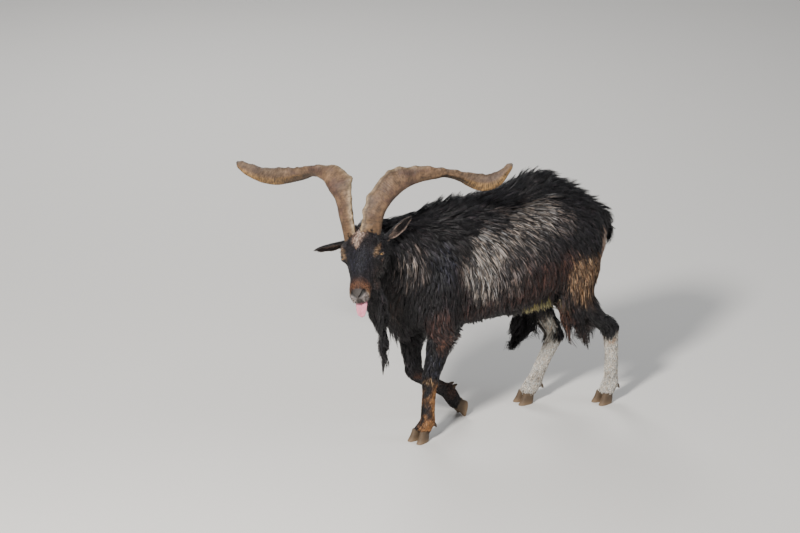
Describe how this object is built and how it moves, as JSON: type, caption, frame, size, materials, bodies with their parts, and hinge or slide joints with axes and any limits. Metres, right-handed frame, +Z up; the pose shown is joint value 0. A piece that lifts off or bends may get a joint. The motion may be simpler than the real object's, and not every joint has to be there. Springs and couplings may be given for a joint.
{
  "type": "goat",
  "caption": "Long-haired black billy goat with wide twisted horns, a beard and its tongue out, walking, head turned to its left; still model.",
  "frame": {"origin": "on the floor, under the middle of the bounding box", "axes": "the body faces -X, its left side is towards -Y, +Z is up"},
  "size_m": [1.3448, 0.7346, 1.0794],
  "materials": {
    "coat": "long coarse hair, mostly black, with silver-grey, brown, tan and white areas",
    "horn": "ridged horn, dull",
    "hoof": "worn and dusty",
    "eye": "wet, glossy",
    "tongue": "moist"
  },
  "bodies": {
    "root": {"horn_left": "horn", "eye_left": "eye", "ear_left": "coat", "horn_right": "horn", "eye_right": "eye", "ear_right": "coat", "tongue": "tongue", "neck": "coat", "head": "coat", "beard": "coat", "claw_fore_left_inner": "hoof", "claw_fore_left_outer": "hoof", "claw_fore_right_inner": "hoof", "claw_fore_right_outer": "hoof", "claw_hind_left_inner": "hoof", "claw_hind_left_outer": "hoof", "claw_hind_right_inner": "hoof", "claw_hind_right_outer": "hoof", "forearm_left": "coat", "fore_shank_left": "coat", "forearm_right": "coat", "fore_shank_right": "coat", "gaskin_left": "coat", "hind_shank_left": "coat", "gaskin_right": "coat", "hind_shank_right": "coat", "trunk": "coat", "tail": "coat", "scrotum": "coat"}
  },
  "joints": []
}
